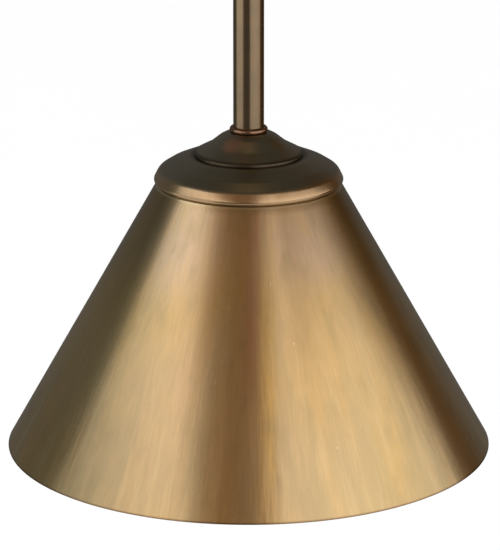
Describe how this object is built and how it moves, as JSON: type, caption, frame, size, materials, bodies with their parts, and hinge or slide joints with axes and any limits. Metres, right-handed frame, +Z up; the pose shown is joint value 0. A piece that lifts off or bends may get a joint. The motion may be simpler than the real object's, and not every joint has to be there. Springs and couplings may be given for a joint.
{
  "type": "pendant lamp",
  "caption": "Cone-shaded pendant lamp: domed two-tier cap, rigid stem and a hang-straight swivel under a dished ceiling canopy.",
  "frame": {"origin": "centre of the crossbar's two screw slots, on the ceiling plane", "axes": "+Z up into the ceiling along the stem, +X along the crossbar, the lamp hangs towards -Z"},
  "size_m": [0.254, 0.254, 0.5429],
  "materials": {
    "antique_brass": "hand-rubbed antique brass with vertical brushing",
    "antique_brass_dark": "dark antique brass, brighter at the turned edges",
    "bronze": "satin bronze",
    "bronze_tube": "satin bronze tube",
    "zinc_steel": "zinc plated",
    "green_screw": "green",
    "socket_brass": "plain rolled brass",
    "fibre": "vulcanised fibre",
    "phenolic": "moulded phenolic",
    "bulb_metal": "rolled aluminium",
    "black_glass": "black vitrite",
    "solder": "dull solder",
    "frosted_glass": "soft white frosted",
    "clear_glass": "clear",
    "tungsten": "drawn wire",
    "black_insulation": "matt insulation",
    "white_insulation": "matt insulation",
    "green_insulation": "matt insulation",
    "orange_plastic": "moulded"
  },
  "bodies": {
    "ceiling": {"crossbar": "zinc_steel", "ground_screw": "green_screw", "canopy_nipple": "zinc_steel", "nipple_locknut": "zinc_steel", "canopy": "antique_brass", "canopy_ring": "bronze", "swivel_bushing": "bronze", "swivel_stop_pin": "zinc_steel", "swivel_nut": "zinc_steel", "canopy_hot_wire": "black_insulation", "canopy_neutral_wire": "white_insulation", "ground_wire": "green_insulation", "wire_connectors": "orange_plastic"},
    "swivel": {"swivel_yoke": "bronze", "pivot_screws": "bronze"},
    "pendant": {"swivel_eye": "bronze", "upper_stem": "bronze_tube", "stem_coupling": "bronze", "lower_stem": "bronze_tube", "stem_end_bushing": "zinc_steel", "stem_nipple": "zinc_steel", "collar_ring": "bronze", "bell_cap": "antique_brass_dark", "dome_cap": "antique_brass_dark", "shade": "antique_brass", "shade_washer": "zinc_steel", "socket_cap": "socket_brass", "socket_set_screw": "zinc_steel", "socket_shell": "socket_brass", "socket_liner": "fibre", "socket_body": "phenolic", "terminal_screws": "socket_brass", "centre_contact": "socket_brass", "screw_shell": "socket_brass", "bulb_base": "bulb_metal", "bulb_insulator": "black_glass", "bulb_tip": "solder", "bulb_glass": "frosted_glass", "bulb_mount": "clear_glass", "filament": "tungsten", "hot_wire": "black_insulation", "neutral_wire": "white_insulation"}
  },
  "joints": [
    {"name": "swivel_turn", "type": "hinge", "parent": "ceiling", "child": "swivel", "pos_m": [0, 0, -0.0331], "axis": [0, 0, 1], "range_deg": [-165, 165]},
    {"name": "swivel_tilt", "type": "hinge", "parent": "swivel", "child": "pendant", "pos_m": [0, 0, -0.051], "axis": [1, 0, 0], "range_deg": [-45, 45]}
  ]
}
